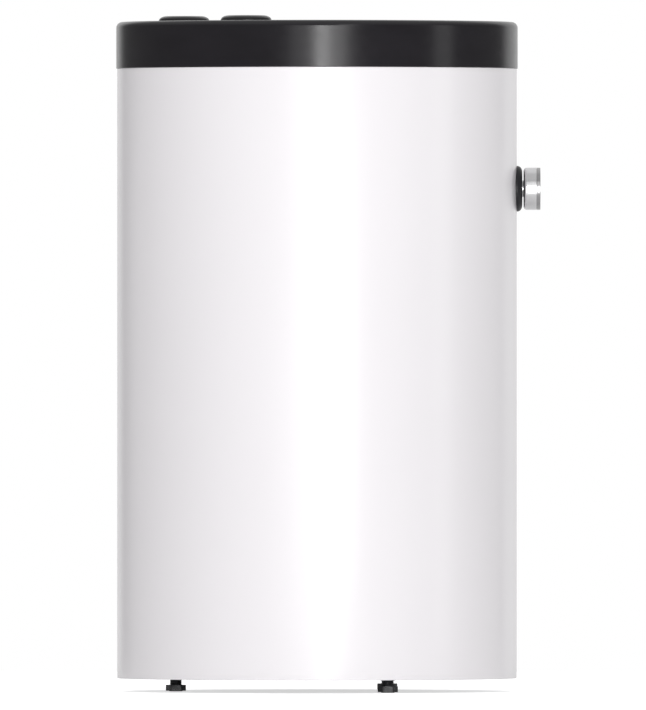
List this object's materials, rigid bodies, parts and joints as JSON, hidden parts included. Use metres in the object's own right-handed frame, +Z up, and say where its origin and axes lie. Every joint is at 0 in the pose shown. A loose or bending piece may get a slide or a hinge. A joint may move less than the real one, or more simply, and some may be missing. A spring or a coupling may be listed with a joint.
{
  "type": "tank water heater",
  "caption": "Upright cylindrical tank water heater with a plastic lid, plug caps over its pipe connections, a dial thermometer and screw-in levelling feet.",
  "frame": {"origin": "on the floor, at the middle of the outline seen from above; the tank's axis is 16.9 mm towards -X of it", "axes": "+Z up along the tank, +X out of the front through the thermometer, pipe connections towards -X"},
  "size_m": [0.6338, 0.6, 1.008],
  "materials": {
    "jacket_paint": "gloss",
    "lid_plastic": "satin",
    "rosette_plastic": "satin",
    "thermometer_chrome": "polished",
    "bezel_chrome": "polished",
    "lens_glass": "polished",
    "dial_face": "matte",
    "needle_paint": "satin",
    "foot_metal": "satin",
    "foot_rubber": "matte",
    "galvanised_steel": "satin",
    "plain_steel": "satin",
    "tank_enamel": "gloss",
    "brass": "satin",
    "magnesium": "matte",
    "blown_foam": "matte",
    "grey_felt": "matte",
    "gasket_rubber": "matte",
    "tube_plastic": "satin"
  },
  "bodies": {
    "tank": {"jacket": "jacket_paint", "base_pan": "galvanised_steel", "support_ring": "plain_steel", "bottom_insulation": "grey_felt", "foam_insulation": "blown_foam", "inner_tank": "tank_enamel", "heating_coil": "tank_enamel", "flange_neck": "plain_steel", "flange_gasket": "gasket_rubber", "flange_plate": "plain_steel", "flange_bolt_1": "galvanised_steel", "flange_bolt_2": "galvanised_steel", "flange_bolt_3": "galvanised_steel", "flange_bolt_4": "galvanised_steel", "flange_bolt_5": "galvanised_steel", "flange_bolt_6": "galvanised_steel", "anode_plug": "brass", "anode_rod": "magnesium", "sensor_pocket": "brass", "cold_water_spigot": "plain_steel", "coil_flow_spigot": "plain_steel", "coil_return_spigot": "plain_steel", "hot_water_spigot": "plain_steel", "cold_dip_tube": "tube_plastic", "thermowell_boss": "plain_steel", "thermowell": "brass", "thermometer_stem": "plain_steel", "bimetal_coil": "brass", "thermometer_rosette": "rosette_plastic", "thermometer_case": "thermometer_chrome", "thermometer_bezel": "bezel_chrome", "thermometer_lens": "lens_glass", "thermometer_dial": "dial_face", "foot_bush_1": "galvanised_steel", "foot_bush_2": "galvanised_steel", "foot_bush_3": "galvanised_steel"},
    "lid": {"lid": "lid_plastic", "lid_insulation": "grey_felt"},
    "cap_1": {"pipe_cap_1": "lid_plastic"},
    "cap_2": {"pipe_cap_2": "lid_plastic"},
    "cap_3": {"pipe_cap_3": "lid_plastic"},
    "cap_4": {"pipe_cap_4": "lid_plastic"},
    "pointer": {"thermometer_pointer": "needle_paint", "pointer_spindle": "plain_steel"},
    "foot_1_pad": {"foot_pad_1": "foot_rubber"},
    "foot_2_pad": {"foot_pad_2": "foot_rubber"},
    "foot_3_pad": {"foot_pad_3": "foot_rubber"},
    "foot_1_screw": {"foot_screw_1": "foot_metal"},
    "foot_2_screw": {"foot_screw_2": "foot_metal"},
    "foot_3_screw": {"foot_screw_3": "foot_metal"}
  },
  "joints": [
    {"name": "lid_lift", "type": "slide", "parent": "tank", "child": "lid", "axis": [0, 0, 1], "range_m": [0, 0.085]},
    {"name": "cap_1_pull", "type": "slide", "parent": "lid", "child": "cap_1", "axis": [0, 0, 1], "range_m": [0, 0.04]},
    {"name": "cap_2_pull", "type": "slide", "parent": "lid", "child": "cap_2", "axis": [0, 0, 1], "range_m": [0, 0.04]},
    {"name": "cap_3_pull", "type": "slide", "parent": "lid", "child": "cap_3", "axis": [0, 0, 1], "range_m": [0, 0.04]},
    {"name": "cap_4_pull", "type": "slide", "parent": "lid", "child": "cap_4", "axis": [0, 0, 1], "range_m": [0, 0.04]},
    {"name": "pointer_turn", "type": "hinge", "parent": "tank", "child": "pointer", "pos_m": [0.30765, 0, 0.751], "axis": [-1, 0, 0], "range_deg": [-45, 225], "stiffness_Nm_per_rad": 0.0002},
    {"name": "foot_1_height", "type": "slide", "parent": "tank", "child": "foot_1_pad", "axis": [0, 0, 1], "range_m": [-0.02, 0.008]},
    {"name": "foot_2_height", "type": "slide", "parent": "tank", "child": "foot_2_pad", "axis": [0, 0, 1], "range_m": [-0.02, 0.008]},
    {"name": "foot_3_height", "type": "slide", "parent": "tank", "child": "foot_3_pad", "axis": [0, 0, 1], "range_m": [-0.02, 0.008]},
    {"name": "foot_1_turn", "type": "hinge", "parent": "foot_1_pad", "child": "foot_1_screw", "pos_m": [-0.2278, 0, 0.03], "axis": [0, 0, 1], "range_deg": [-3600, 1440]},
    {"name": "foot_2_turn", "type": "hinge", "parent": "foot_2_pad", "child": "foot_2_screw", "pos_m": [0.08855, -0.18265, 0.03], "axis": [0, 0, 1], "range_deg": [-3600, 1440]},
    {"name": "foot_3_turn", "type": "hinge", "parent": "foot_3_pad", "child": "foot_3_screw", "pos_m": [0.08855, 0.18265, 0.03], "axis": [0, 0, 1], "range_deg": [-3600, 1440]}
  ],
  "couplings": [
    {"joint": "foot_1_height", "follows": "foot_1_turn", "m_per_rad": 0.00031831},
    {"joint": "foot_2_height", "follows": "foot_2_turn", "m_per_rad": 0.00031831},
    {"joint": "foot_3_height", "follows": "foot_3_turn", "m_per_rad": 0.00031831}
  ]
}
